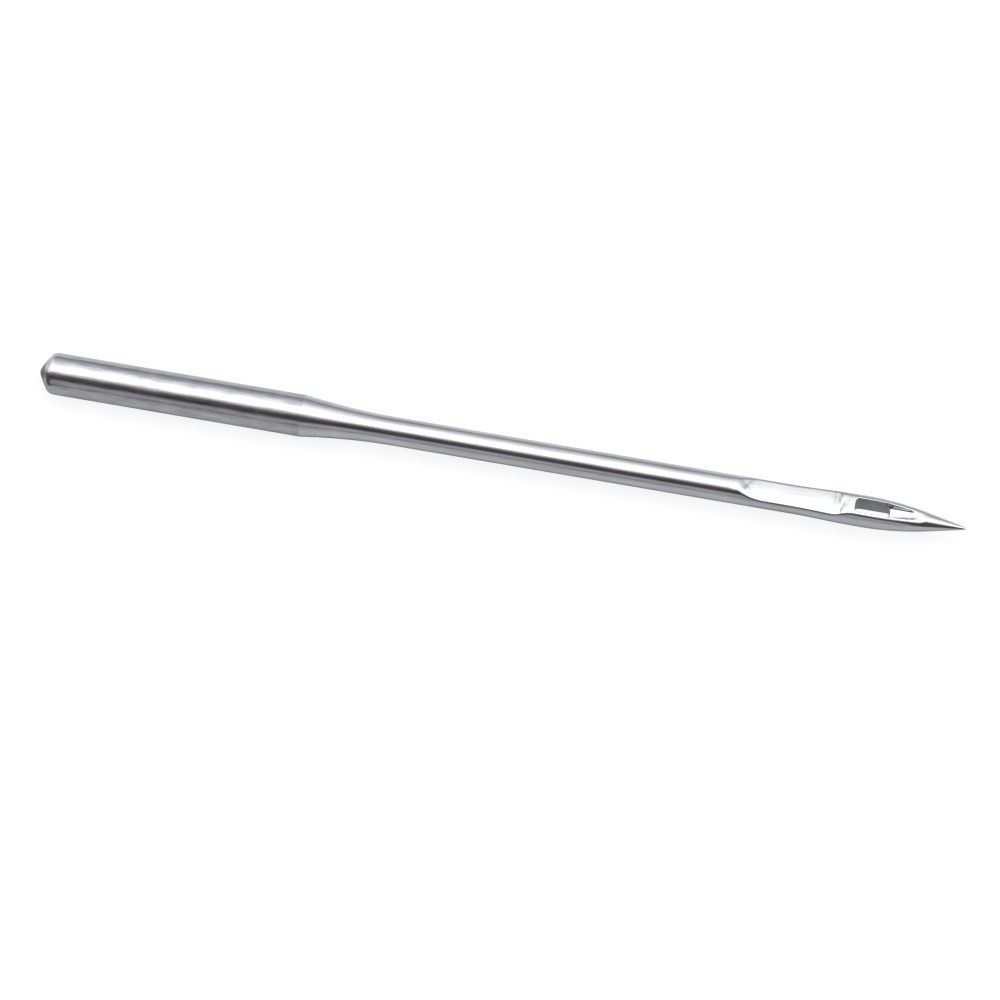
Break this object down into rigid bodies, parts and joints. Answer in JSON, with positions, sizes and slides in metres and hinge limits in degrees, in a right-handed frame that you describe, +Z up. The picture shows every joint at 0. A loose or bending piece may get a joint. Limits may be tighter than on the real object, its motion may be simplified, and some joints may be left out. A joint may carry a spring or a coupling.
{
  "type": "sewing machine needle",
  "caption": "Round-shank sewing machine needle in polished plated steel, with a long thread groove, scarf, eye, short groove and sharp point.",
  "frame": {"origin": "on the plane the needle lies on, under its axis, at the middle of its length", "axes": "+X along the needle towards the point, -X out over the butt, +Z up and the way the scarf and the upper mouth of the eye face"},
  "size_m": [0.0444, 0.002, 0.002],
  "materials": {
    "plated_steel": "polished, with a ground shank and a dull cut butt"
  },
  "bodies": {
    "root": {"needle": "plated_steel"}
  },
  "joints": []
}
